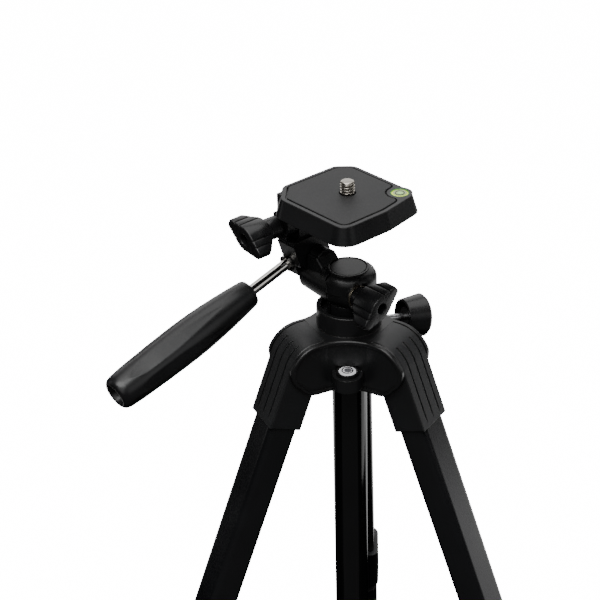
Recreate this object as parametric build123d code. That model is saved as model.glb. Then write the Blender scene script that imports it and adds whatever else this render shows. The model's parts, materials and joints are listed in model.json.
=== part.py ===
from build123d import *
import os
from math import cos, radians, sin, tan

# Compact aluminium tripod with a pan, tilt and flip head, lengths in millimetres.
# Every function draws its piece with z = 0 at the rim of the collar on top of the spider.

# ---- frame ----
RIM_Z = 320.0            # height of the collar rim above the floor
LEG_AZIMUTHS = {"right": -30, "rear": 90, "left": 210}
SPREAD = 21.0            # angle of each leg from the vertical
HEAD_AZIMUTH = -45.0     # the tilt axis points this way from the column
RUN = 0.05               # radial clearance of a pin that turns in its hole
GAP = 0.3                # clearance between sliding sections

# ---- spider and collar ----
COLLAR_R = 14.6
COLLAR_BORE_R = 12.6
COLLAR_BOTTOM = -9.2
COLLAR_RECESS = 6.0
SPIDER_LOW = -34.9
HUB_R = 25.0
CORE_S = 17.6
VALLEY_R = 22.1
VALLEY_OFFSET = 39.7
PRONG_T = 12.5           # half width across one pair of prongs
SLOT_T = 10.25           # half width of the slot between them
SLOT_S = 17.05           # distance from the column axis to the wall that stops the leg
PIN_S = 23.2
PIN_Z = -20.8
PIN_R = 2.0
PIN_REACH = 10.95
LOBE_R = 11.6
HEEL_R = 10.0
HEEL_BACK = 1.4
EDGE_SOFT = 0.9
PRONG_PROUD = 0.4
JUNCTION_R = 6.0
COLLAR_SOFT = 0.5
PANEL_AZIMUTHS = (-90, 30, 150)
PANEL_RIM = 1.7
PANEL_DEEP = 1.0
PANEL_HALF = 11.0
VIAL_BOSS_R = 6.8
VIAL_BOSS_Y = -19.5
VIAL_BOSS_TOP = -24.6
VIAL_R = 5.1

# ---- column and pan base ----
COLUMN_R = 8.0
COLUMN_WALL = 1.2
COLUMN_LOW = -250.0
PAN_BASE_R = 12.0
PAN_BASE_TOP = -2.6
SPINDLE_R = 6.0
SPINDLE_TOP = 5.6
PAN_BOLT_R = 2.0

# ---- head ----
DOME_R = 12.6
DOME_TOP = 18.2
NECK_R = 9.8
BARREL_V = -2.6
BARREL_Z = 9.5
BARREL_R_SLIT = 9.3
BARREL_R_END = 8.1
BARREL_END_U = -21.0
SLIT_U = (-1.9, -0.9)
HUB_END_U = 10.4
HUB_END_R = 6.8
PAN_SCREW_V = -5.0
PAN_SCREW_Z = 10.1
CAP_R = 7.9
TILT_V = -3.5
TILT_Z = 18.8
TILT_HUB_R = 7.6
KNUCKLE_R = 5.5
KNUCKLE_END_U = -10.5
SADDLE_HALF = 5.8
SADDLE_PROFILE = [(-16.6, 12.0), (-16.6, 22.0), (-10.9, 22.0), (-7.2, 18.4), (-4.0, 18.0), (-4.0, 12.0)]
DOME_LIP_Z = 10.2
TILT_SHAFT_R = 2.6
BLOCK_U = (-28.3, -17.0)
FLIP_U = -24.5
FLIP_Z = 36.5
FLIP_R = 6.0
FLIP_BOLT_R = 2.5
EAR_FLAT = 3.3           # ears and neck are cut flat this far outside the flip bolt

# ---- plate ----
PLATE_TOP = 54.3
PLATE_DEEP = 8.0
PLATE_FLARE = 16.5
PLATE_OUTLINE = [
    (-15.0, -24.7),
    (24.4, -24.7),
    (24.4, -0.5),
    (20.9, 18.9),
    (16.4, 21.3),
    (-18.4, 21.3),
    (-24.6, 14.6),
    (-24.6, -15.4),
]
PLATE_FRONT_CORNER = 6.0
PLATE_CORNER = 5.0
RIM_ROUND = 0.5
RIM_WIDE = 1.9
GROOVE_GAP = 0.7
PAD_DEEP = 1.0
PAD_PROUD = 0.2
VIAL_NOTCH = 5.6
UNDER_INSET = 1.0
UNDER_DEEP = 5.0
CAMERA_SCREW_R = 3.175   # 1/4 inch thread
CAMERA_SHANK_R = 2.9
CAMERA_SCREW_UP = 6.0
DIAL_TOP = 49.0
DIAL_THICK = 5.0
DIAL_R = 9.0
PLATE_VIAL_UV = (15.2, 16.3)
PLATE_VIAL_R = 4.15

# ---- handle ----
HANDLE_U = -25.0
HANDLE_START = (-12.9, 16.05)
HANDLE_SLOPE = 15.7
ROD_R = 2.5
ROD_FREE = 23.9
GRIP_LENGTH = 76.9
GRIP_HOLE_R = 4.7

# ---- wing knobs ----
WING_HALF = 11.4
WING_THICK = 5.0
WING_DEPTH = 8.5
KNOB_HUB_R = 5.2
KNOB_HOLE_R = 2.4
PAN_KNOB_FACE = 26.5     # distance of its outer face from the column axis
PAN_WING_TURN = 125.0
FLIP_KNOB_FACE = -38.3
FLIP_WING_TURN = -26.0

# ---- column lock knob ----
LOCK_AZIMUTH = 27.0
LOCK_TILT = 8.0
LOCK_START_Z = -9.9
LOCK_NEAR = 27.1
LOCK_LENGTH = 10.6
LOCK_BOSS_R = 4.2
LOCK_BOSS_REACH = 17.0
LOCK_SCREW_R = 1.7

# ---- legs, measured down the leg from the hinge pin ----
LEG_DEPTH = 14.3
LEG_WIDTH = 17.6
LEG_OFFSET = 2.7         # the tube's centre plane lies this far outside the pin
TUBE_WALL = 0.9
TUBE_CORNER = 3.2
CORNER_STEP = 0.8
CAP_HALF = 10.0
CAP_OUT = 10.93
CAP_IN = -4.9
CAP_END = 32.5
SHOULDER_R = 15.0
CAP_SOFT = 0.7
GROOVE_START = 28.0
GROOVE_STOP = 2.2
GROOVE_PITCH = 5.4
GROOVE_WIDE = 0.9
GROOVE_DEEP = 0.7
UPPER_SPAN = (9.0, 226.0)
UPPER_LOCK = (212.0, 249.0)
MID_SPAN = (24.0, 271.0)
MID_LOCK = (257.0, 294.0)
LOWER_SPAN = (40.0, 314.0)
FOOT_TOP = 298.0
LOCK_GROW = 2.2
LEVER_PIN_R = 1.5

os.makedirs("parts", exist_ok=True)


# ---- small tools ----
def cyl_x(radius, x0, x1, y, z):
    return Pos((x0 + x1) / 2, y, z) * Rot(0, 90, 0) * Cylinder(radius, x1 - x0)


def cyl_y(radius, y0, y1, x, z):
    return Pos(x, (y0 + y1) / 2, z) * Rot(90, 0, 0) * Cylinder(radius, y1 - y0)


def cyl_z(radius, z0, z1, x=0.0, y=0.0):
    return Pos(x, y, (z0 + z1) / 2) * Cylinder(radius, z1 - z0)


def cone_x(radius0, radius1, x0, x1, y, z):
    return Pos((x0 + x1) / 2, y, z) * Rot(0, 90, 0) * Cone(radius0, radius1, x1 - x0)


def block(x0, x1, y0, y1, z0, z1):
    return Pos((x0 + x1) / 2, (y0 + y1) / 2, (z0 + z1) / 2) * Box(x1 - x0, y1 - y0, z1 - z0)


def turned(profile):
    """Solid of revolution about Z from (radius, height) points."""
    outline = Polyline([(r, 0, z) for r, z in profile], close=True)
    return revolve(make_face(outline), Axis.Z)


def extruded_xz(points, y0, y1):
    """Prism whose outline lies in the XZ plane, between two values of Y."""
    outline = Polyline([(x, y0, z) for x, z in points], close=True)
    return extrude(make_face(outline), amount=y1 - y0, dir=(0, 1, 0))


def extruded_yz(points, x0, x1):
    outline = Polyline([(x0, y, z) for y, z in points], close=True)
    return extrude(make_face(outline), amount=x1 - x0, dir=(1, 0, 0))


def section(depth, width, corner, low, high):
    """Rounded rectangular bar along the leg, from low to high (downwards)."""
    sketch = Pos(LEG_OFFSET, 0, -high) * RectangleRounded(depth, width, corner)
    return extrude(sketch, amount=high - low)


def on_column(shape):
    return Pos(0, 0, RIM_Z) * shape


def on_head(shape):
    return Pos(0, 0, RIM_Z) * Rot(0, 0, HEAD_AZIMUTH) * shape


def on_side(shape, azimuth):
    return Pos(0, 0, RIM_Z) * Rot(0, 0, azimuth) * shape


def on_leg(shape, azimuth):
    return on_side(Pos(PIN_S, 0, PIN_Z) * Rot(0, -SPREAD, 0) * shape, azimuth)


def on_handle(shape):
    place = Pos(HANDLE_U, HANDLE_START[0], HANDLE_START[1])
    return on_head(place * Rot(90 + HANDLE_SLOPE, 0, 0) * shape)


def on_lock(shape):
    return on_side(Pos(0, 0, LOCK_START_Z) * Rot(0, 90 + LOCK_TILT, 0) * shape, LOCK_AZIMUTH)


def save(name, shape):
    shape.label = name
    export_step(shape, "parts/" + name + ".step")


# ---- spider ----
def prong_profile(inset=0.0):
    """Side view of a prong inside the cap's shoulder line, or the same drawn smaller."""
    heel_s = PIN_S - HEEL_BACK
    outline = Pos(PIN_S, PIN_Z) * Circle(LOBE_R - inset)
    outline += Pos(heel_s, SPIDER_LOW + HEEL_R) * Circle(HEEL_R - inset)
    top = COLLAR_BOTTOM - inset
    low = SPIDER_LOW + inset
    outline += Pos(heel_s / 2, (top + low) / 2) * Rectangle(heel_s, top - low)
    top_length = PIN_S + 2
    outline += Pos(top_length / 2, (top + PIN_Z) / 2) * Rectangle(top_length, top - PIN_Z)
    return outline & cap_outline(inset - PRONG_PROUD, -1.0)


def arm():
    """One pair of prongs as a solid block with soft outer edges."""
    solid = cap_slab(prong_profile(), -PRONG_T, PRONG_T)
    return fillet(solid.faces().filter_by(Axis.Y).edges(), EDGE_SOFT)


def panel_recess():
    """Shallow tub in one panel, drawn for the panel that faces +X."""
    plan = Circle(60)
    core = Circle(HUB_R) - Pos(VALLEY_OFFSET, 0) * Circle(VALLEY_R + PANEL_DEEP)
    for turn in (-60, 60):
        core += Rot(0, 0, turn) * Pos(20, 0) * Rectangle(40, 2 * (PRONG_T - PANEL_DEEP))
    plan -= core
    corners = [v for v in plan.vertices() if v.X > 0 and abs(v.Y) < 12 and v.X < 25]
    plan = fillet(corners, JUNCTION_R - PANEL_DEEP)
    low = SPIDER_LOW + PANEL_RIM
    high = COLLAR_BOTTOM - PANEL_RIM
    tub = extrude(Pos(0, 0, low) * plan, amount=high - low)
    side = extrude(Plane.XZ * prong_profile(PANEL_RIM), amount=6)
    window = block(0, 30, -PANEL_HALF, PANEL_HALF, low, high)
    window += Rot(0, 0, -60) * Pos(0, PRONG_T + 1, 0) * side
    window += Rot(0, 0, 60) * Pos(0, 5 - PRONG_T, 0) * side
    return tub & window


def spider_body():
    body = cyl_z(HUB_R, SPIDER_LOW, COLLAR_BOTTOM)
    for azimuth in PANEL_AZIMUTHS:
        x = VALLEY_OFFSET * cos(radians(azimuth))
        y = VALLEY_OFFSET * sin(radians(azimuth))
        body -= cyl_z(VALLEY_R, SPIDER_LOW - 1, COLLAR_BOTTOM + 1, x, y)
    body = fillet(body.edges().filter_by(GeomType.CIRCLE), EDGE_SOFT)
    half = PRONG_T - EDGE_SOFT
    outside_core = block(CORE_S, 40, -half, half, SPIDER_LOW - 1, COLLAR_BOTTOM + 1)
    slot = block(SLOT_S, SLOT_S + 30, -SLOT_T, SLOT_T, SPIDER_LOW - 1, COLLAR_BOTTOM + 1)
    blind_hole = cyl_y(PIN_R, -PIN_REACH, PIN_REACH, PIN_S, PIN_Z)
    for azimuth in LEG_AZIMUTHS.values():
        body -= Rot(0, 0, azimuth) * outside_core
        body += Rot(0, 0, azimuth) * arm()
    for azimuth in PANEL_AZIMUTHS:
        body -= Rot(0, 0, azimuth) * panel_recess()
    for azimuth in LEG_AZIMUTHS.values():
        body -= Rot(0, 0, azimuth) * (slot + blind_hole)
    lock_boss = cyl_z(LOCK_BOSS_R, 10, LOCK_BOSS_REACH)
    lock_boss = Pos(0, 0, LOCK_START_Z) * Rot(0, 90 + LOCK_TILT, 0) * lock_boss
    lock_boss -= cyl_z(40, COLLAR_BOTTOM, 10)
    body += Rot(0, 0, LOCK_AZIMUTH) * lock_boss
    collar = cyl_z(COLLAR_R, COLLAR_BOTTOM - 1, 0)
    body += fillet(collar.edges().sort_by(Axis.Z)[-1], COLLAR_SOFT)
    body -= cyl_z(COLLAR_BORE_R, -COLLAR_RECESS, 1)
    body += cyl_z(VIAL_BOSS_R, -31.3, VIAL_BOSS_TOP, 0, VIAL_BOSS_Y)
    body -= cyl_z(VIAL_R + 0.5, VIAL_BOSS_TOP, VIAL_BOSS_TOP + 2.2, 0, VIAL_BOSS_Y)
    body -= cyl_z(COLUMN_R + 0.08, SPIDER_LOW - 1, 1)
    screw_hole = Pos(0, 0, LOCK_START_Z) * Rot(0, 90 + LOCK_TILT, 0) * cyl_z(LOCK_SCREW_R + RUN, 6, 40)
    shoe_hole = Pos(0, 0, LOCK_START_Z) * Rot(0, 90 + LOCK_TILT, 0) * cyl_z(2.5 + RUN, 6, COLUMN_R + 1.6)
    return on_column(body - Rot(0, 0, LOCK_AZIMUTH) * (screw_hole + shoe_hole))


def spider_vial():
    vial = cyl_z(VIAL_R, VIAL_BOSS_TOP, VIAL_BOSS_TOP + 1.8, 0, VIAL_BOSS_Y)
    return on_column(vial)


def hinge_pins():
    pins = []
    for azimuth in LEG_AZIMUTHS.values():
        pins.append(on_side(cyl_y(PIN_R, -PIN_REACH, PIN_REACH, PIN_S, PIN_Z), azimuth))
    return Compound(children=pins)


# ---- column ----
def column_tube():
    tube = cyl_z(COLUMN_R, COLUMN_LOW, -COLLAR_RECESS)
    return on_column(tube - cyl_z(COLUMN_R - COLUMN_WALL, COLUMN_LOW, 0))


def column_end_cap():
    cap = cyl_z(COLUMN_R + 1.4, COLUMN_LOW - 3, COLUMN_LOW)
    cap += cyl_z(COLUMN_R - COLUMN_WALL, COLUMN_LOW, COLUMN_LOW + 12)
    return on_column(cap)


def pan_base():
    base = cyl_z(PAN_BASE_R, -COLLAR_RECESS, PAN_BASE_TOP)
    base += cyl_z(COLUMN_R - COLUMN_WALL, -22, -COLLAR_RECESS)
    base += cyl_z(SPINDLE_R, PAN_BASE_TOP, SPINDLE_TOP)
    return on_column(base - cyl_z(PAN_BOLT_R, -4, SPINDLE_TOP))


def pan_bolt():
    bolt = cyl_z(PAN_BOLT_R, -4, DOME_TOP - 4.3) + cyl_z(4.0, DOME_TOP - 4.3, DOME_TOP - 1.3)
    socket = extrude(Pos(0, 0, DOME_TOP - 3.3) * RegularPolygon(2.0, 6), amount=3)
    return on_column(bolt - socket)


# ---- head ----
def barrel_solid(extra=0.0):
    shape = cone_x(
        BARREL_R_END + extra, BARREL_R_SLIT + extra, BARREL_END_U, SLIT_U[0], BARREL_V, BARREL_Z
    )
    return shape - cyl_x(TILT_HUB_R + 0.4, BARREL_END_U - 1, BLOCK_U[1] + 0.3, TILT_V, TILT_Z)


def saddle_side(edge):
    """True for the upper edges along both sides of the saddle."""
    middle = edge.center()
    return abs(abs(middle.Y - TILT_V) - SADDLE_HALF) < 0.01 and middle.Z > 17


def head_body():
    dome = cyl_z(DOME_R, 2.0, DOME_TOP)
    dome = fillet(dome.edges().sort_by(Axis.Z)[-1], 4.4)
    dome -= block(-20, 20, -20, PAN_SCREW_V, 0, DOME_LIP_Z)
    dome -= block(-20, SLIT_U[0], -20, BARREL_V, 0, DOME_TOP - 3)
    dome += cyl_z(NECK_R, PAN_BASE_TOP + 0.3, 3.0)
    dome += cyl_z(CAP_R + 1.2, DOME_TOP - 3, DOME_TOP + 0.5)
    dome += barrel_solid()
    dome += cone_x(BARREL_R_SLIT, HUB_END_R, SLIT_U[0], HUB_END_U, BARREL_V - 0.4, BARREL_Z)
    knuckle = cyl_x(KNUCKLE_R, BLOCK_U[1] + 0.4, KNUCKLE_END_U, TILT_V, TILT_Z)
    dome += fillet(knuckle.edges().sort_by(Axis.X)[-1], 0.5)
    saddle = extruded_xz(SADDLE_PROFILE, TILT_V - SADDLE_HALF, TILT_V + SADDLE_HALF)
    dome += fillet([e for e in saddle.edges() if saddle_side(e)], 1.4)
    dome -= block(SLIT_U[0], SLIT_U[1], -20, -CAP_R - 1, -3, 20)
    dome -= block(SLIT_U[0], SLIT_U[1], -9, 0, -3, DOME_TOP - 4)
    dome -= cyl_x(6.2, HUB_END_U, 20, PAN_SCREW_V, PAN_SCREW_Z)
    dome -= cyl_z(CAP_R + 0.45, DOME_TOP - 0.5, DOME_TOP + 1)
    dome -= cyl_z(4.3, DOME_TOP - 4.5, DOME_TOP)
    dome -= cyl_z(PAN_BOLT_R, SPINDLE_TOP, DOME_TOP)
    dome -= cyl_z(SPINDLE_R + RUN, -3, SPINDLE_TOP + 0.4)
    dome -= cyl_x(2.0 + RUN, -12, 20, PAN_SCREW_V, PAN_SCREW_Z)
    dome -= cyl_x(TILT_SHAFT_R, BLOCK_U[1], -11.5, TILT_V, TILT_Z)
    return on_head(dome)


def head_cap():
    return on_head(cyl_z(CAP_R, DOME_TOP - 0.5, DOME_TOP + 0.4))


def tilt_shaft():
    return on_head(cyl_x(TILT_SHAFT_R, BLOCK_U[0] + 1, -11.5, TILT_V, TILT_Z))


def pan_washer():
    ring = cyl_x(4.9, HUB_END_U, HUB_END_U + 1.0, PAN_SCREW_V, PAN_SCREW_Z)
    return on_head(ring - cyl_x(2.0 + RUN, HUB_END_U, HUB_END_U + 1.0, PAN_SCREW_V, PAN_SCREW_Z))


# ---- wing knobs: axis on Z, outer face at z = 0, body below ----
def wing_knob(hub_length, bolt_r):
    arc_r = (WING_HALF**2 + WING_THICK**2) / (2 * WING_THICK)
    lens = Pos(0, arc_r - WING_THICK) * Circle(arc_r)
    lens &= Pos(0, WING_THICK - arc_r) * Circle(arc_r)
    lens &= Rectangle(2 * WING_HALF - 1.4, 2 * WING_THICK)
    knob = Pos(0, 0, -WING_DEPTH) * extrude(lens, amount=WING_DEPTH)
    knob += cyl_z(KNOB_HUB_R, -hub_length, 0)
    knob -= cyl_z(KNOB_HOLE_R, -5, 0)
    return knob - cyl_z(bolt_r, -hub_length, -6)


def on_pan_knob(shape):
    place = Pos(PAN_KNOB_FACE, PAN_SCREW_V, PAN_SCREW_Z) * Rot(0, 90, 0)
    return on_head(place * Rot(0, 0, PAN_WING_TURN) * shape)


def on_flip_knob(shape):
    place = Pos(FLIP_U, FLIP_KNOB_FACE, FLIP_Z) * Rot(90, 0, 0)
    return on_head(place * Rot(0, 0, FLIP_WING_TURN) * shape)


def pan_lock_knob():
    return on_pan_knob(wing_knob(PAN_KNOB_FACE - HUB_END_U - 1.2, 2.0))


def pan_lock_screw():
    return on_pan_knob(cyl_z(2.0, -PAN_KNOB_FACE - 8, -6))


def flip_lock_knob():
    return on_flip_knob(wing_knob(18.9, FLIP_BOLT_R))


def flip_bolt():
    return on_flip_knob(cyl_z(FLIP_BOLT_R, FLIP_KNOB_FACE - 13.6, -6))


# ---- tilting block ----
def tilt_block():
    u0 = BLOCK_U[0]
    u1 = BLOCK_U[1]
    front = [(-10.8, 9.7), (-16.4, 26.9), (-16.4, 29.3), (6.5, 29.3), (6.5, 20.3), (2.0, 13.8)]
    shape = extruded_yz(front, u0, u1) + cyl_x(TILT_HUB_R, u0, u1, TILT_V, TILT_Z)
    neck = [(-12.0, 25.0), (-12.0, FLIP_Z), (6.8, FLIP_Z), (6.8, 25.0)]
    shape += extruded_yz(neck, FLIP_U - 3.8, FLIP_U + FLIP_R)
    shape += cyl_y(FLIP_R, -12.0, 6.8, FLIP_U, FLIP_Z)
    shape -= block(FLIP_U - 10, FLIP_U - EAR_FLAT, -10.0, 8.0, 30.0, 60.0)
    for angle in range(-24, 85, 12):
        swept = Pos(0, TILT_V, TILT_Z) * Rot(angle, 0, 0) * Pos(0, -TILT_V, -TILT_Z) * barrel_solid(0.5)
        shape -= swept
    shape -= block(u0, u1, -17, -15.6, 27.4, 27.9)
    shape -= cyl_x(TILT_SHAFT_R + RUN, u0, u1, TILT_V, TILT_Z)
    shape -= cyl_y(FLIP_BOLT_R + RUN, -20, 20, FLIP_U, FLIP_Z)
    shape = on_head(shape)
    return shape - on_handle(cyl_z(ROD_R + RUN, -6.5, 5))


# ---- handle: axis on Z, z = 0 at the face of the block, outwards is positive ----
def handle_rod():
    return on_handle(cyl_z(ROD_R, -6.3, ROD_FREE + 12))


def handle_nut():
    ring = cyl_z(4.0, 0.4, 1.8)
    return on_handle(ring - cyl_z(ROD_R, 0.4, 1.8))


def handle_grip():
    end = ROD_FREE + GRIP_LENGTH
    profile = [
        (0, ROD_FREE),
        (5.4, ROD_FREE),
        (6.2, ROD_FREE + 0.8),
        (6.9, ROD_FREE + 5),
        (7.9, ROD_FREE + 15),
        (8.7, ROD_FREE + 26),
        (9.1, ROD_FREE + 37),
        (9.1, ROD_FREE + 46),
        (8.7, ROD_FREE + 61),
        (7.9, end - 3),
        (7.0, end - 0.8),
        (6.0, end),
        (GRIP_HOLE_R, end),
        (GRIP_HOLE_R, end - 7),
        (0, end - 7),
    ]
    return on_handle(turned(profile) - cyl_z(ROD_R, ROD_FREE, ROD_FREE + 12))


# ---- platform ----
def plate_face(inset=0.0, notch=0.0):
    """Outline of the platform, moved in by the inset, with a round notch for the level."""
    outline = make_face(Polyline(PLATE_OUTLINE, close=True))
    if inset:
        outline = offset(outline, amount=-inset, kind=Kind.INTERSECTION)
    if notch:
        u, v = PLATE_VIAL_UV
        outline -= Pos(u, v) * Circle(notch)
    front = outline.vertices().sort_by_distance((PLATE_OUTLINE[1][0], PLATE_OUTLINE[1][1]))[0]
    outline = fillet(front, PLATE_FRONT_CORNER - inset)
    corners = [v for v in outline.vertices() if corner_is_sharp(v)]
    return fillet(corners, max(PLATE_CORNER - inset, 0.6))


def corner_is_sharp(vertex):
    """True away from the rounded front corner."""
    du = vertex.X - PLATE_OUTLINE[1][0]
    dv = vertex.Y - PLATE_OUTLINE[1][1]
    return (du * du + dv * dv) ** 0.5 > 2 * PLATE_FRONT_CORNER


def camera_plate():
    top = Pos(0, 0, PLATE_TOP) * plate_face()
    plate = extrude(top, amount=PLATE_DEEP, dir=(0, 0, -1), taper=-PLATE_FLARE)
    plate = fillet(plate.faces().sort_by(Axis.Z)[-1].edges(), RIM_ROUND)
    under = Pos(0, 0, PLATE_TOP - PLATE_DEEP) * plate_face(UNDER_INSET)
    plate -= extrude(under, amount=UNDER_DEEP)
    seat = Pos(0, 0, PLATE_TOP) * plate_face(RIM_WIDE, VIAL_NOTCH)
    plate -= extrude(seat, amount=-PAD_DEEP)
    for v0, v1 in ((-18.6, -12.3), (7.1, 12.0)):
        ear = cyl_y(6.2, v0, v1, FLIP_U, FLIP_Z)
        ear += block(FLIP_U - 0.5, FLIP_U + 6.2, v0, v1, FLIP_Z, PLATE_TOP - 2.5)
        ear -= block(FLIP_U - 10, FLIP_U - EAR_FLAT, v0, v1, 20, PLATE_TOP)
        plate += ear - cyl_y(FLIP_BOLT_R + RUN, v0, v1, FLIP_U, FLIP_Z)
    plate += cyl_z(7.0, PLATE_TOP - 5.2, PLATE_TOP - PAD_DEEP)
    u, v = PLATE_VIAL_UV
    plate += cyl_z(PLATE_VIAL_R + 1.3, PLATE_TOP - 3.6, PLATE_TOP, u, v)
    plate -= cyl_z(PLATE_VIAL_R, PLATE_TOP - 2.4, PLATE_TOP, u, v)
    for rib_u in (-10.0, 10.0):
        plate += block(rib_u - 0.7, rib_u + 0.7, -24.0, 20.0, PLATE_TOP - 5.0, PLATE_TOP - 2.0)
    return on_head(plate - cyl_z(CAMERA_SHANK_R + RUN, DIAL_TOP, PLATE_TOP))


def plate_pad():
    outline = plate_face(RIM_WIDE + GROOVE_GAP, VIAL_NOTCH + GROOVE_GAP)
    pad = extrude(Pos(0, 0, PLATE_TOP - PAD_DEEP) * outline, amount=PAD_DEEP + PAD_PROUD)
    pad = chamfer(pad.faces().sort_by(Axis.Z)[-1].edges(), 0.15)
    return on_head(pad - cyl_z(CAMERA_SCREW_R + 0.5, PLATE_TOP - 2, PLATE_TOP + 1))


def plate_vial():
    u, v = PLATE_VIAL_UV
    return on_head(cyl_z(PLATE_VIAL_R, PLATE_TOP - 2.4, PLATE_TOP - 0.1, u, v))


def camera_screw():
    pad_top = PLATE_TOP + PAD_PROUD
    shank = cyl_z(CAMERA_SHANK_R, DIAL_TOP - DIAL_THICK, pad_top)
    return on_head(shank + cyl_z(CAMERA_SCREW_R, pad_top, PLATE_TOP + CAMERA_SCREW_UP))


def camera_screw_dial():
    low = DIAL_TOP - DIAL_THICK
    dial = cyl_z(DIAL_R, low, DIAL_TOP) - cyl_z(CAMERA_SHANK_R, low, DIAL_TOP)
    return on_head(dial)


# ---- column lock: axis on Z, z = distance from the column axis ----
def column_lock_knob():
    far = LOCK_NEAR + LOCK_LENGTH
    profile = [
        (0, far),
        (8.9, far),
        (9.9, far - 1.2),
        (8.1, LOCK_NEAR),
        (6.9, LOCK_NEAR),
        (7.6, far - 3),
        (4.5, far - 3),
        (4.5, LOCK_NEAR + 1),
        (0, LOCK_NEAR + 1),
    ]
    return on_lock(turned(profile) - cyl_z(LOCK_SCREW_R, LOCK_NEAR, far - 3))


def column_lock_screw():
    return on_lock(cyl_z(LOCK_SCREW_R, COLUMN_R + 1.6, LOCK_NEAR + LOCK_LENGTH - 3))


def column_brake_shoe():
    shoe = on_lock(cyl_z(2.5, COLUMN_R - 1, COLUMN_R + 1.5))
    return shoe - on_column(cyl_z(COLUMN_R + 0.12, -30, 0))


# ---- legs ----
def cap_slab(outline, y0, y1):
    return Pos(0, y1, 0) * extrude(Plane.XZ * outline, amount=y1 - y0)


def cap_outline(inset=0.0, heel_s=SLOT_S + RUN):
    """Side view of a leg cap, with its top and outer faces moved in by the inset."""
    top = COLLAR_BOTTOM - max(inset, 0.0)
    tip_out = leg_point(CAP_OUT - inset, CAP_END)
    inner_top = leg_point(CAP_IN, 2.0)
    corner_s = leg_point(CAP_OUT - inset, 0)[0]
    corner_s -= (top - leg_point(CAP_OUT - inset, 0)[1]) * tan(radians(SPREAD))
    points = [(heel_s, top), (corner_s, top), tip_out]
    if heel_s > 0:
        points += [leg_point(CAP_IN, CAP_END), inner_top, (heel_s, inner_top[1] + 3)]
    else:
        points.append((heel_s, tip_out[1]))
    outline = make_face(Polyline(points, close=True))
    corner = outline.vertices().sort_by_distance((corner_s, top))[0]
    return fillet(corner, SHOULDER_R - inset)


def leg_cap():
    cap = cap_slab(cap_outline(), -CAP_HALF, CAP_HALF)
    cap = fillet(cap.faces().filter_by(Axis.Y).edges(), CAP_SOFT)
    end_s, end_z = leg_point(CAP_OUT, CAP_END - GROOVE_STOP)
    window = Polyline(
        [
            (GROOVE_START, COLLAR_BOTTOM - 8),
            (GROOVE_START, 0),
            (end_s + 20, 0),
            (end_s + 20, end_z),
            (end_s, end_z),
        ],
        close=True,
    )
    skin = (cap_outline() - cap_outline(GROOVE_DEEP)) & make_face(window)
    for y in (-GROOVE_PITCH, 0, GROOVE_PITCH):
        cap -= cap_slab(skin, y - GROOVE_WIDE / 2, y + GROOVE_WIDE / 2)
    socket = section(LEG_DEPTH, LEG_WIDTH, TUBE_CORNER, UPPER_SPAN[0], CAP_END + 5)
    cap -= Pos(PIN_S, 0, PIN_Z) * Rot(0, -SPREAD, 0) * socket
    return cap - cyl_y(PIN_R + RUN, -11, 11, PIN_S, PIN_Z)


def leg_point(outward, down):
    """Point of the leg's side view, from its distances outward from and down past the pin."""
    s = PIN_S + outward * cos(radians(SPREAD)) + down * sin(radians(SPREAD))
    z = PIN_Z + outward * sin(radians(SPREAD)) - down * cos(radians(SPREAD))
    return (s, z)


def leg_tube(level):
    """Tube 0 is the outer one; each next tube slides in the one before."""
    shrink = 2 * level * (TUBE_WALL + GAP)
    span = (UPPER_SPAN, MID_SPAN, LOWER_SPAN)[level]
    depth = LEG_DEPTH - shrink
    width = LEG_WIDTH - shrink
    corner = TUBE_CORNER - CORNER_STEP * level
    tube = section(depth, width, corner, *span)
    wall = 2 * TUBE_WALL
    return tube - section(depth - wall, width - wall, corner - 0.6, *span)


def leg_lock(level):
    """Collar on the end of one tube that guides and clamps the next."""
    low, high = (UPPER_LOCK, MID_LOCK)[level]
    shrink = 2 * level * (TUBE_WALL + GAP)
    depth = LEG_DEPTH - shrink
    width = LEG_WIDTH - shrink
    lock = section(depth + 2 * LOCK_GROW, width + 2 * LOCK_GROW, 4.0, low, high)
    front = LEG_OFFSET + depth / 2 + LOCK_GROW
    ears = block(front - 1, front + 4.2, -width / 2 + 1, width / 2 - 1, -high + 2, -high + 9)
    ears -= block(front, front + 5, -width / 2 + 3.2, width / 2 - 3.2, -high, -high + 12)
    lock += ears
    seat = section(depth, width, TUBE_CORNER - CORNER_STEP * level, low, (UPPER_SPAN, MID_SPAN)[level][1])
    inner = 2 * (TUBE_WALL + GAP)
    corner = TUBE_CORNER - CORNER_STEP * (level + 1)
    guide = section(depth - inner + GAP, width - inner + GAP, corner, low, high)
    pin = cyl_y(LEVER_PIN_R, -20, 20, front + 2.0, -high + 5.0)
    return lock - seat - guide - pin


def lever_site(level):
    low, high = (UPPER_LOCK, MID_LOCK)[level]
    shrink = 2 * level * (TUBE_WALL + GAP)
    front = LEG_OFFSET + (LEG_DEPTH - shrink) / 2 + LOCK_GROW
    width = LEG_WIDTH - shrink
    return front, -high + 5.0, width


def lock_lever(level):
    front, z, width = lever_site(level)
    half = width / 2 - 3.5
    lever = cyl_y(1.8, -half, half, front + 2.0, z)
    lever += block(front + 0.3, front + 3.8, -half, half, z, z + 26)
    lever += block(front + 0.3, front + 4.6, -half, half, z + 22, z + 26)
    return lever - cyl_y(LEVER_PIN_R + RUN, -20, 20, front + 2.0, z)


def lever_pin(level):
    front, z, width = lever_site(level)
    return cyl_y(LEVER_PIN_R, -width / 2 + 1, width / 2 - 1, front + 2.0, z)


def foot():
    shrink = 4 * (TUBE_WALL + GAP)
    depth = LEG_DEPTH - shrink
    width = LEG_WIDTH - shrink
    boot = section(depth + 5.0, width + 5.0, 4.0, FOOT_TOP, FOOT_TOP + 40)
    boot -= section(depth, width, 1.6, FOOT_TOP, LOWER_SPAN[1])
    return boot


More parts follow.
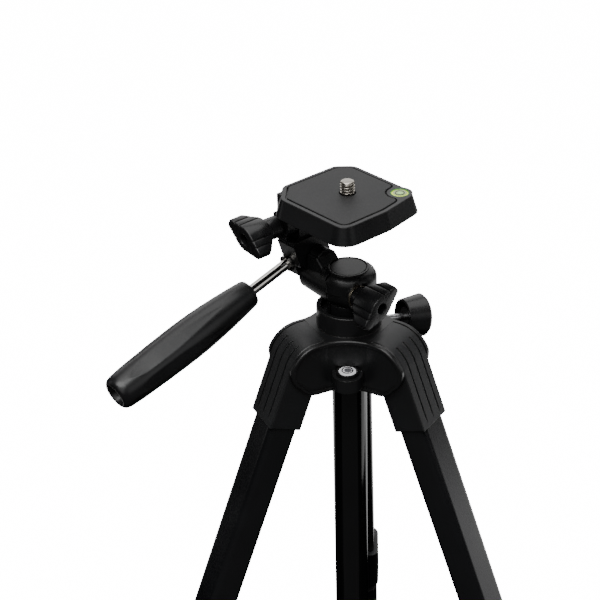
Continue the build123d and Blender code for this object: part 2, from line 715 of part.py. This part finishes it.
def build_legs():
    for side, azimuth in LEG_AZIMUTHS.items():
        save("leg_cap_" + side, on_side(leg_cap(), azimuth))
        for level, name in enumerate(("upper", "mid", "lower")):
            save(name + "_tube_" + side, on_leg(leg_tube(level), azimuth))
        for level, name in enumerate(("upper", "lower")):
            save(name + "_lock_" + side, on_leg(leg_lock(level), azimuth))
            save(name + "_lever_" + side, on_leg(lock_lever(level), azimuth))
            save(name + "_lever_pin_" + side, on_leg(lever_pin(level), azimuth))
        ground = block(-400, 400, -400, 400, -60, 0)
        save("foot_" + side, on_leg(foot(), azimuth) - ground)


PIECES = {
    "spider_body": spider_body,
    "spider_vial": spider_vial,
    "hinge_pins": hinge_pins,
    "column_tube": column_tube,
    "column_end_cap": column_end_cap,
    "pan_base": pan_base,
    "pan_bolt": pan_bolt,
    "head_body": head_body,
    "head_cap": head_cap,
    "tilt_shaft": tilt_shaft,
    "pan_washer": pan_washer,
    "pan_lock_knob": pan_lock_knob,
    "pan_lock_screw": pan_lock_screw,
    "tilt_block": tilt_block,
    "handle_rod": handle_rod,
    "handle_nut": handle_nut,
    "handle_grip": handle_grip,
    "camera_plate": camera_plate,
    "plate_pad": plate_pad,
    "plate_vial": plate_vial,
    "camera_screw": camera_screw,
    "camera_screw_dial": camera_screw_dial,
    "flip_lock_knob": flip_lock_knob,
    "flip_bolt": flip_bolt,
    "column_lock_knob": column_lock_knob,
    "column_lock_screw": column_lock_screw,
    "column_brake_shoe": column_brake_shoe,
}

for node, make in PIECES.items():
    save(node, make())
build_legs()
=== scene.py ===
"""A small tripod with its pan head: camera, studio, materials and the finely shaped pieces."""
import json
import math

import bpy
import bmesh
from mathutils import Matrix, Vector


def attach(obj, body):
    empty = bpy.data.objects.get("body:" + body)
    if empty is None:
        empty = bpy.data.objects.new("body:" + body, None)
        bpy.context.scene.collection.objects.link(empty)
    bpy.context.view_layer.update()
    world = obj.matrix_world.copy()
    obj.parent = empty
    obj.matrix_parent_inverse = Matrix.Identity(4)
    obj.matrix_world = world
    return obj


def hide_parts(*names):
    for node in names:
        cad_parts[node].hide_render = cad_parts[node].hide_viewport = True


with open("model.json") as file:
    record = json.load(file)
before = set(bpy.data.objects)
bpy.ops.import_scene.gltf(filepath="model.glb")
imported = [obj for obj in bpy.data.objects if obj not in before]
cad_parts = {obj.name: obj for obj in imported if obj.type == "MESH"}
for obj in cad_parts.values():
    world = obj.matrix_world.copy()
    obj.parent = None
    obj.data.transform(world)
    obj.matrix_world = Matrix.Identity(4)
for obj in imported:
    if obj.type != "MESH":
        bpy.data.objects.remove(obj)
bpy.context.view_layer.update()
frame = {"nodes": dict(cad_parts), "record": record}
NODES = frame["nodes"]
SCENE = bpy.context.scene
MATERIALS = {}

MM = 0.001               # lengths below are in millimetres, lights and floor in metres
RIM_Z = 320.0            # top of the spider's collar, where the head's own frame stands
AXIS_R = 0.001           # radius that stands for a point on a turned shape's axis
WHITE = 15.0             # strength of the white ground behind the tripod

# Camera: place and lens in millimetres, direction from the scene towards it, angles in degrees.
CAMERA_PLACE = (24.84, -562.13, 644.68)
CAMERA_BACK = (0.0716, -0.8647, 0.4973)
CAMERA_YAW, CAMERA_ROLL = 4.73, -1.72
LENS, SENSOR = 87.525, 36.0


# ---- camera ----
def make_camera():
    yaw, roll = math.radians(CAMERA_YAW), math.radians(CAMERA_ROLL)
    back = Vector(CAMERA_BACK).normalized()
    right = Vector((math.cos(yaw), math.sin(yaw), 0.0))
    up = right.cross(-back)
    tilted_right = right * math.cos(roll) + up * math.sin(roll)
    tilted_up = -right * math.sin(roll) + up * math.cos(roll)
    data = bpy.data.cameras.new("view")
    data.lens = LENS
    data.sensor_width = SENSOR
    data.clip_start = 0.01
    data.clip_end = 50.0
    camera = bpy.data.objects.new("view", data)
    stance = Matrix((tilted_right, tilted_up, back)).transposed().to_4x4()
    camera.matrix_world = Matrix.Translation(Vector(CAMERA_PLACE) * MM) @ stance
    SCENE.collection.objects.link(camera)
    SCENE.camera = camera


# ---- light and floor, in metres ----
HEAD_CENTRE = (0.0, 0.0, 0.33)
SOFT_BOXES = {           # place, width and height, brightness; all face the head
    "top": ((0.0, 0.35, 1.6), (1.5, 1.1), 2.0),
    "backdrop": ((0.0, 2.0, 1.15), (3.6, 1.7), 1.35),
    "left": ((-1.5, 0.25, 0.62), (0.35, 1.25), 0.7),
    "right": ((1.5, 0.45, 0.75), (0.35, 1.1), 1.2),
    "front": ((-0.3, -1.6, 1.1), (1.6, 1.1), 1.0),
    "front_right": ((1.5, -1.0, 0.9), (1.1, 1.1), 0.9),
    "front_top": ((-0.25, -0.8, 1.9), (1.6, 0.9), 7.0),
}
TABLE_GLOW = {           # panels that lie on the floor and shine straight up
    "table_back": ((0.3, 1.05, 0.004), (1.6, 1.7), 0.8),
    "table_right": ((0.75, 0.22, 0.006), (0.9, 0.5), 1.1),
    "table_front": ((0.0, -1.0, 0.004), (3.0, 1.8), 0.09),
}
FLOOR_HALF = 6.0


def area_light(name, place, aim, size, radiance):
    """A soft box of the given brightness that the camera itself does not see."""
    data = bpy.data.lights.new(name, "AREA")
    data.shape = "RECTANGLE"
    data.size, data.size_y = size
    data.energy = radiance * math.pi * size[0] * size[1]
    lamp = bpy.data.objects.new(name, data)
    lamp.location = place
    towards = Vector(aim) - Vector(place)
    lamp.rotation_euler = towards.to_track_quat("-Z", "Y").to_euler()
    lamp.visible_camera = False
    SCENE.collection.objects.link(lamp)


def make_studio():
    for name, (place, size, radiance) in SOFT_BOXES.items():
        area_light(name, place, HEAD_CENTRE, size, radiance)
    for name, (place, size, radiance) in TABLE_GLOW.items():
        area_light(name, place, (place[0], place[1], 1.0), size, radiance)
    world = bpy.data.worlds.new("studio")
    world.use_nodes = True
    ground = world.node_tree.nodes["Background"]
    ground.inputs["Color"].default_value = (1.0, 1.0, 1.0, 1.0)
    ground.inputs["Strength"].default_value = WHITE
    world.cycles_visibility.diffuse = False
    world.cycles_visibility.glossy = False
    SCENE.world = world


# ---- material tools; radii and distances in metres ----
NOISE_LOW, NOISE_HIGH = 0.3, 0.7     # the part of the noise that a ramp spreads out
PLASTIC_EDGE, METAL_EDGE = 0.0004, 0.0002
PLASTIC_GRAIN_DEPTH, METAL_GRAIN_DEPTH = 0.00005, 0.00002
CLOUD_SCALE, METAL_SCALE = 60.0, 900.0
METAL_BUMP = 0.05


def new_tree(name):
    mat = bpy.data.materials.new(name)
    mat.use_nodes = True
    tree = mat.node_tree
    return mat, tree, tree.nodes["Principled BSDF"]


def noise(tree, scale, detail=3.0):
    place = tree.nodes.new("ShaderNodeTexCoord")
    node = tree.nodes.new("ShaderNodeTexNoise")
    node.inputs["Scale"].default_value = scale
    node.inputs["Detail"].default_value = detail
    tree.links.new(place.outputs["Object"], node.inputs["Vector"])
    return node.outputs["Fac"]


def ramp(tree, source, low, high):
    node = tree.nodes.new("ShaderNodeMapRange")
    node.inputs["From Min"].default_value = NOISE_LOW
    node.inputs["From Max"].default_value = NOISE_HIGH
    node.inputs["To Min"].default_value = low
    node.inputs["To Max"].default_value = high
    tree.links.new(source, node.inputs["Value"])
    return node.outputs["Result"]


def mix_colour(tree, source, dark, light):
    node = tree.nodes.new("ShaderNodeValToRGB")
    first, last = node.color_ramp.elements
    first.position, last.position = NOISE_LOW, NOISE_HIGH
    first.color, last.color = (*dark, 1.0), (*light, 1.0)
    tree.links.new(source, node.inputs["Fac"])
    return node.outputs["Color"]


def rounded_normal(tree, radius, height, strength, distance):
    """Softened edges with a fine bump on top."""
    bevel = tree.nodes.new("ShaderNodeBevel")
    bevel.samples = 4
    bevel.inputs["Radius"].default_value = radius
    bump = tree.nodes.new("ShaderNodeBump")
    bump.inputs["Strength"].default_value = strength
    bump.inputs["Distance"].default_value = distance
    tree.links.new(height, bump.inputs["Height"])
    tree.links.new(bevel.outputs["Normal"], bump.inputs["Normal"])
    return bump.outputs["Normal"]


def plastic(name, shade, rough, grain=2200.0, bump=0.12, specular=0.5):
    """A moulded or rubbery surface, faintly uneven in shade and gloss."""
    mat, tree, shader = new_tree(name)
    cloud = noise(tree, CLOUD_SCALE)
    fine = noise(tree, grain, detail=2.0)
    dark = tuple(0.85 * c for c in shade)
    light = tuple(1.15 * c for c in shade)
    colour = mix_colour(tree, cloud, dark, light)
    gloss = ramp(tree, cloud, rough - 0.03, rough + 0.03)
    normal = rounded_normal(tree, PLASTIC_EDGE, fine, bump, PLASTIC_GRAIN_DEPTH)
    tree.links.new(colour, shader.inputs["Base Color"])
    tree.links.new(gloss, shader.inputs["Roughness"])
    tree.links.new(normal, shader.inputs["Normal"])
    shader.inputs["Specular IOR Level"].default_value = specular
    MATERIALS[name] = mat


def metal(name, shade, rough):
    """A bare metal surface with a fine grain."""
    mat, tree, shader = new_tree(name)
    grain = noise(tree, METAL_SCALE)
    dark = tuple(0.9 * c for c in shade)
    light = tuple(min(1.0, 1.08 * c) for c in shade)
    colour = mix_colour(tree, grain, dark, light)
    gloss = ramp(tree, grain, rough * 0.8, rough * 1.25)
    normal = rounded_normal(tree, METAL_EDGE, grain, METAL_BUMP, METAL_GRAIN_DEPTH)
    tree.links.new(colour, shader.inputs["Base Color"])
    tree.links.new(gloss, shader.inputs["Roughness"])
    tree.links.new(normal, shader.inputs["Normal"])
    shader.inputs["Metallic"].default_value = 1.0
    MATERIALS[name] = mat


# ---- materials; a level's looks are named after the level ----
VIAL_LOOKS = {
    "plate_level_rim": (0.03, 0.22, 0.02),
    # painted light: this bright lime shows as a crescent on the camera's side of the plate level,
    # standing in for the lit inner wall of the cup
    "plate_level_fluid": (0.78, 0.95, 0.05),
    "plate_level_face": (0.36, 0.48, 0.22),
    "plate_level_bubble": (0.45, 0.75, 0.28),
    "spider_level_rim": (0.006, 0.006, 0.006),
    "spider_level_fluid": (0.02, 0.02, 0.02),
    "spider_level_face": (0.85, 0.85, 0.87),
    "spider_level_bubble": (0.10, 0.10, 0.11),
    "ring_black": (0.004, 0.004, 0.004),
}


def make_materials():
    plastic("spider_plastic", (0.0075, 0.0076, 0.0080), 0.33)
    plastic("leg_plastic", (0.0085, 0.0088, 0.0095), 0.42)
    plastic("head_plastic", (0.0075, 0.0075, 0.0080), 0.34, specular=0.35)
    plastic("knob_plastic", (0.0060, 0.0060, 0.0065), 0.28)
    plastic("grip_plastic", (0.0055, 0.0055, 0.0060), 0.33, bump=0.06)
    plastic("pad_rubber", (0.0100, 0.0100, 0.0105), 0.60, grain=1500.0, bump=0.3)
    plastic("foot_rubber", (0.0080, 0.0080, 0.0080), 0.75, bump=0.3)
    plastic("anodised_tube", (0.0060, 0.0062, 0.0070), 0.24, bump=0.03)
    plastic("column_gloss", (0.0040, 0.0040, 0.0042), 0.10, bump=0.01)
    metal("chrome", (0.62, 0.60, 0.57), 0.10)
    metal("nickel", (0.46, 0.43, 0.38), 0.24)
    metal("steel", (0.45, 0.45, 0.46), 0.30)
    metal("brass", (0.60, 0.54, 0.42), 0.28)
    plastic("nylon_shoe", (0.60, 0.60, 0.56), 0.50)
    plastic("vial_green", (0.35, 0.70, 0.05), 0.08, bump=0.0)
    plastic("vial_clear", (0.55, 0.56, 0.57), 0.08, bump=0.0)
    for look, shade in VIAL_LOOKS.items():
        plastic(look, shade, 0.10, bump=0.0)


def paint_cad_nodes():
    for part in frame["record"]["subparts"]:
        node = NODES[part["node"]]
        node.data.materials.clear()
        node.data.materials.append(MATERIALS[part["material_slot"]])


def make_floor():
    mesh = bpy.data.meshes.new("floor")
    half = FLOOR_HALF
    corners = [(-half, -half, 0), (half, -half, 0), (half, half, 0), (-half, half, 0)]
    mesh.from_pydata(corners, [], [(0, 1, 2, 3)])
    floor = bpy.data.objects.new("floor", mesh)
    SCENE.collection.objects.link(floor)
    mat, tree, shader = new_tree("floor_pale")
    colour = mix_colour(tree, noise(tree, 3.0), (0.90, 0.90, 0.90), (0.92, 0.92, 0.92))
    tree.links.new(colour, shader.inputs["Base Color"])
    shader.inputs["Roughness"].default_value = 0.9
    shader.inputs["Emission Color"].default_value = (1.0, 1.0, 1.0, 1.0)
    shader.inputs["Emission Strength"].default_value = WHITE
    mesh.materials.append(mat)
    floor.visible_diffuse = False
    floor.visible_glossy = False


# ---- mesh tools ----
def turn(axis, degrees):
    return Matrix.Rotation(math.radians(degrees), 4, axis)


def shift(x, y, z):
    return Matrix.Translation((x, y, z))


def piece(name, points, faces, place, material, body, stands_for=(), sharp=32.0):
    """A mesh drawn in millimetres in its own frame, then put in place and tied to its body.

    Edges that turn by more than the sharp angle, in degrees, stay crisp.
    """
    mesh = bpy.data.meshes.new(name)
    spots = [(place @ Vector(p)) * MM for p in points]
    mesh.from_pydata([tuple(p) for p in spots], [], faces)
    work = bmesh.new()
    work.from_mesh(mesh)
    bmesh.ops.remove_doubles(work, verts=work.verts, dist=1e-7)
    bmesh.ops.recalc_face_normals(work, faces=work.faces)
    work.to_mesh(mesh)
    work.free()
    mesh.shade_smooth()
    mesh.set_sharp_from_angle(angle=math.radians(sharp))
    obj = bpy.data.objects.new(name, mesh)
    SCENE.collection.objects.link(obj)
    mesh.materials.append(MATERIALS[material])
    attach(obj, body)
    if stands_for:
        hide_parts(*stands_for)


def loft(rings, cap_start=True, cap_end=True):
    """Skin over rings of equal length; an end that is capped is closed with one face."""
    count = len(rings[0])
    points = [p for ring in rings for p in ring]
    faces = []
    for level in range(len(rings) - 1):
        low, high = level * count, (level + 1) * count
        for i in range(count):
            j = (i + 1) % count
            faces.append((low + i, low + j, high + j, high + i))
    if cap_start:
        faces.append(tuple(range(count))[::-1])
    if cap_end:
        last = (len(rings) - 1) * count
        faces.append(tuple(last + i for i in range(count)))
    return points, faces


def wavy_ring(radius_at, z, count):
    """Points about Z at height z, where radius_at gives the radius at each angle."""
    ring = []
    for i in range(count):
        angle = 2 * math.pi * i / count
        radius = radius_at(angle)
        ring.append((radius * math.cos(angle), radius * math.sin(angle), z))
    return ring


def circle(radius, z, count):
    return wavy_ring(lambda angle: radius, z, count)


def lathe(profile, count=96):
    return loft([circle(max(radius, AXIS_R), z, count) for radius, z in profile])


# ---- wing knobs: axis on Z, outer face at z = 0 ----
WING_HALF, WING_BULGE = 11.4, 5.4    # half the length and half the width of the face
WING_ROOT = 5.0                      # the wings are full depth this far from the axis
WING_FULL, WING_TIP = 12.0, 6.8      # depth at the root and at the tip
HUB_R, FACE_HOLE_R = 5.0, 2.3

# A quarter of the face's edge, from the wing's tip to the middle, with its two finger grooves.
WING_QUARTER = [
    (WING_HALF, 0.00), (11.38, 0.80), (11.27, 1.30), (11.00, 1.72), (10.50, 1.98),
    (9.60, 2.32), (8.55, 2.72),
    (8.36, 2.74), (8.20, 2.42), (7.90, 2.50), (7.76, 2.96),
    (7.60, 3.08), (6.60, 3.47), (5.50, 3.89),
    (5.30, 3.92), (5.14, 3.58), (4.84, 3.68), (4.70, 4.14),
    (4.50, 4.27), (3.60, 4.63), (2.80, 4.93), (2.00, 5.20), (1.00, 5.36), (0.00, WING_BULGE),
]


def wing_outline():
    half = WING_QUARTER + [(-x, y) for x, y in reversed(WING_QUARTER[:-1])]
    return half + [(x, -y) for x, y in reversed(half[1:-1])]


def wing_back(x):
    """Height of the wing's back at this distance along it: deep at the root, thin at the tip."""
    out = max(0.0, abs(x) - WING_ROOT) / (WING_HALF - WING_ROOT)
    return -WING_FULL + out * (WING_FULL - WING_TIP)


def wing_knob(hub_length):
    """Hub, wings with rounded rims, and the round hole in the face."""
    outline = wing_outline()
    angles = [math.atan2(y, x) for x, y in outline]
    back = [wing_back(x) for x, _ in outline]

    def moved_in(inset):
        return [(x * (1 - inset / WING_HALF), y * (1 - inset / WING_BULGE)) for x, y in outline]

    def face_ring(inset, z):
        return [(x, y, z) for x, y in moved_in(inset)]

    def back_ring(inset, up):
        return [(x, y, z + up) for (x, y), z in zip(moved_in(inset), back)]

    def round_ring(radius, z):
        return [(radius * math.cos(a), radius * math.sin(a), z) for a in angles]

    hub = [
        round_ring(AXIS_R, -hub_length + 0.01),
        round_ring(HUB_R - 0.5, -hub_length),
        round_ring(HUB_R - 0.05, -hub_length + 0.5),
        round_ring(HUB_R, -WING_FULL - 0.6),
    ]
    wings = [
        back_ring(0.55, -0.1), back_ring(0.15, 0.2), back_ring(0.0, 0.7),
        face_ring(0.0, -0.75), face_ring(0.12, -0.35), face_ring(0.42, -0.08),
        face_ring(0.85, 0.0),
    ]
    hole = [
        round_ring(FACE_HOLE_R + 0.45, 0.0),
        round_ring(FACE_HOLE_R + 0.15, -0.25),
        round_ring(FACE_HOLE_R + 0.05, -0.7),
        round_ring(FACE_HOLE_R, -5.0),
        round_ring(AXIS_R, -5.1),
    ]
    return loft(hub + wings + hole)


# ---- handle grip: axis on Z, z measured from the block's face ----
GRIP_START, GRIP_LENGTH = 23.9, 76.9
GRIP_SIDES = 144
GRIP_BORE_R, GRIP_END_R, GRIP_END_DEPTH = 2.55, 4.6, 7.0     # bore for the rod, hollow end
GRIP_PROFILE = [         # share of the length, radius
    (0.0, 5.1), (0.004, 5.8), (0.012, 6.2), (0.02, 6.4),
    (0.1, 7.15), (0.2, 7.9), (0.3, 8.5), (0.4, 8.92), (0.5, 9.12), (0.6, 9.12),
    (0.7, 8.96), (0.8, 8.68), (0.9, 8.22), (0.96, 7.85),
    (0.985, 7.3), (0.995, 6.6), (1.0, 6.0),
]
FLUTE_COUNT = 6
FLUTE_START, FLUTE_SPAN = 0.21, 0.69         # shares of the grip's length
FLUTE_DEPTH, FLUTE_HALF_ANGLE = 0.5, 22.0    # millimetres, degrees


def flute_depth(along, angle):
    """Shallow leaf-shaped hollows: pointed near the rod, rounded near the free end."""
    if not 0.0 < along < 1.0:
        return 0.0
    widest = math.radians(FLUTE_HALF_ANGLE)
    opening = min(1.0, (along / 0.55) ** 0.75)
    closing = min(1.0, math.sqrt((1.0 - along) / 0.15))
    half = widest * opening * closing
    sector = 2 * math.pi / FLUTE_COUNT
    off = (angle + sector / 2) % sector - sector / 2
    if abs(off) >= half:
        return 0.0
    return FLUTE_DEPTH * half / widest * (1.0 - (off / half) ** 2)


def grip_radius(along, angle):
    for (t0, r0), (t1, r1) in zip(GRIP_PROFILE, GRIP_PROFILE[1:]):
        if t0 <= along <= t1:
            body = r0 + (r1 - r0) * (along - t0) / (t1 - t0)
    return body - flute_depth((along - FLUTE_START) / FLUTE_SPAN, angle)


def handle_grip():
    """Bored for the rod at the near end and hollow at the free end."""
    near = [0.0, 0.002, 0.004, 0.008, 0.012, 0.02, 0.03]
    middle = [0.045 + 0.0135 * i for i in range(67)]
    far = [0.955, 0.965, 0.973, 0.98, 0.987, 0.993, 0.997, 1.0]
    rings = [
        circle(GRIP_BORE_R, GRIP_START + 2.0, GRIP_SIDES),
        circle(GRIP_BORE_R, GRIP_START, GRIP_SIDES),
    ]
    for along in near + middle + far:
        z = GRIP_START + along * GRIP_LENGTH
        rings.append(wavy_ring(lambda angle: grip_radius(along, angle), z, GRIP_SIDES))
    hollow = [
        (5.1, 0.02), (4.75, 0.35), (GRIP_END_R, GRIP_END_DEPTH), (AXIS_R, GRIP_END_DEPTH),
    ]
    for radius, back in hollow:
        rings.append(circle(radius, GRIP_START + GRIP_LENGTH - back, GRIP_SIDES))
    return loft(rings, cap_start=False)


# ---- camera screw with its 1/4-20 thread, in the head's frame ----
SCREW_FOOT, THREAD_LOW, SCREW_TOP = 44.0, 54.45, 60.3
SCREW_R, THREAD_ROOT, THREAD_CREST = 2.55, 2.45, 3.17
THREAD_PITCH = 1.27
SCREW_SIDES, LEVELS_PER_TURN = 72, 16
GROOVE_FLAT, FLANK = 0.10, 0.55      # shares of half a pitch


def thread_radius(z, angle):
    phase = (z / THREAD_PITCH - angle / (2 * math.pi)) % 1.0
    ridge = 1.0 - abs(2 * phase - 1.0)
    height = min(1.0, max(0.0, (ridge - GROOVE_FLAT) / FLANK))
    return THREAD_ROOT + (THREAD_CREST - THREAD_ROOT) * height


def camera_screw():
    rings = [
        circle(SCREW_R, SCREW_FOOT, SCREW_SIDES),
        circle(THREAD_ROOT, THREAD_LOW - 0.05, SCREW_SIDES),
    ]
    levels = int((SCREW_TOP - 1.0 - THREAD_LOW) / THREAD_PITCH * LEVELS_PER_TURN)
    for level in range(levels + 1):
        z = THREAD_LOW + level * THREAD_PITCH / LEVELS_PER_TURN
        rings.append(wavy_ring(lambda angle: thread_radius(z, angle), z, SCREW_SIDES))
    for radius, back in ((3.05, 0.85), (2.98, 0.55), (2.7, 0.25), (2.0, 0.06), (1.0, 0.0)):
        rings.append(circle(radius, SCREW_TOP - back, SCREW_SIDES))
    return loft(rings)


# ---- bull's-eye levels: axis on Z, z = 0 on the seat ----
VIAL_WALL, VIAL_FLOOR = 0.5, 0.35
RING_INNER, RING_OUTER = 0.42, 0.52          # shares of the cup's radius
BUBBLE_LOW, BUBBLE_HIGH = 0.34, 0.30
RING_SIDES, BUBBLE_SIDES = 64, 48


def vial_cup(radius, height):
    bore = radius - VIAL_WALL
    return lathe([
        (radius, 0.0), (radius, height - 0.15), (radius - 0.12, height),
        (radius - 0.40, height), (bore, height - 0.15), (bore, VIAL_FLOOR), (0.0, VIAL_FLOOR),
    ])


def vial_fluid(radius, height):
    bore = radius - VIAL_WALL
    return lathe([
        (bore, 0.4), (bore, height - 0.3), (radius * 0.5, height - 0.26), (0.0, height - 0.25),
    ])


def vial_face(radius, height):
    return lathe([(radius, height - 0.3), (radius, height - 0.18), (0.0, height - 0.14)])


def vial_ring(radius, height):
    inner, outer = radius * RING_INNER, radius * RING_OUTER
    low, high = height - 0.2, height - 0.05
    corners = [(inner, low), (outer, low), (outer, high), (inner, high), (inner, low)]
    return loft([circle(r, z, RING_SIDES) for r, z in corners], cap_start=False, cap_end=False)


def vial_bubble(radius, height):
    dome = [
        (radius * BUBBLE_LOW, height - 0.2), (radius * BUBBLE_HIGH, height - 0.06), (0.0, height),
    ]
    return lathe(dome, BUBBLE_SIDES)


def bull_eye(name, place, radius, height, body, node, face_radius, face_shift):
    """Cup, fluid, face under the fluid, black ring and bubble."""
    face_place = place @ face_shift
    bubble_place = place @ shift(0.15, 0.1, 0)
    piece(name + "_cup", *vial_cup(radius, height), place, name + "_rim", body, (node,))
    piece(name + "_fluid", *vial_fluid(radius, height), place, name + "_fluid", body)
    piece(name + "_face", *vial_face(face_radius, height), face_place, name + "_face", body)
    piece(name + "_ring", *vial_ring(radius, height), place, "ring_black", body)
    piece(name + "_bubble", *vial_bubble(radius, height), bubble_place, name + "_bubble", body)


# ---- where the pieces sit ----
HEAD = shift(0, 0, RIM_Z) @ turn("Z", -45)
HANDLE_DROOP = 15.7                  # degrees below level
PAN_KNOB = HEAD @ shift(26.5, -5.0, 10.1) @ turn("Y", 90) @ turn("Z", 125)
FLIP_KNOB = HEAD @ shift(-24.5, -38.3, 36.5) @ turn("X", 90) @ turn("Z", -26)
HANDLE = HEAD @ shift(-25.0, -12.9, 16.05) @ turn("X", 90 + HANDLE_DROOP)
PAN_HUB, FLIP_HUB = 14.9, 18.9       # hub lengths
PLATE_TOP = 54.3                     # above the rim
PLATE_VIAL_R, PLATE_VIAL_HEIGHT, PLATE_FACE_R = 4.15, 2.4, 2.95
SPIDER_VIAL_R, SPIDER_VIAL_HEIGHT, SPIDER_FACE_R = 5.1, 1.8, 3.9
PLATE_VIAL = HEAD @ shift(15.2, 16.3, PLATE_TOP - PLATE_VIAL_HEIGHT)
SPIDER_VIAL = shift(0, -19.5, RIM_Z - 24.6)


def make_details():
    piece(
        "pan_wing_knob", *wing_knob(PAN_HUB), PAN_KNOB, "knob_plastic", "pan_knob",
        stands_for=("pan_lock_knob",), sharp=24.0,
    )
    piece(
        "flip_wing_knob", *wing_knob(FLIP_HUB), FLIP_KNOB, "knob_plastic", "flip_knob",
        stands_for=("flip_lock_knob",), sharp=24.0,
    )
    piece(
        "fluted_grip", *handle_grip(), HANDLE, "grip_plastic", "handle",
        stands_for=("handle_grip",), sharp=50.0,
    )
    piece(
        "threaded_screw", *camera_screw(), HEAD, "nickel", "screw",
        stands_for=("camera_screw",), sharp=50.0,
    )
    bull_eye(
        "plate_level", PLATE_VIAL, PLATE_VIAL_R, PLATE_VIAL_HEIGHT, "platform", "plate_vial",
        # the face sits off centre, away from the camera, so a lime crescent of fluid shows on the
        # camera's side: painted light of the cup's lit inner wall
        PLATE_FACE_R, shift(-0.22, 0.22, 0),
    )
    bull_eye(
        "spider_level", SPIDER_VIAL, SPIDER_VIAL_R, SPIDER_VIAL_HEIGHT, "spider", "spider_vial",
        SPIDER_FACE_R, shift(0, -0.55, 0),
    )


make_camera()
make_studio()
make_materials()
make_floor()
paint_cad_nodes()
make_details()
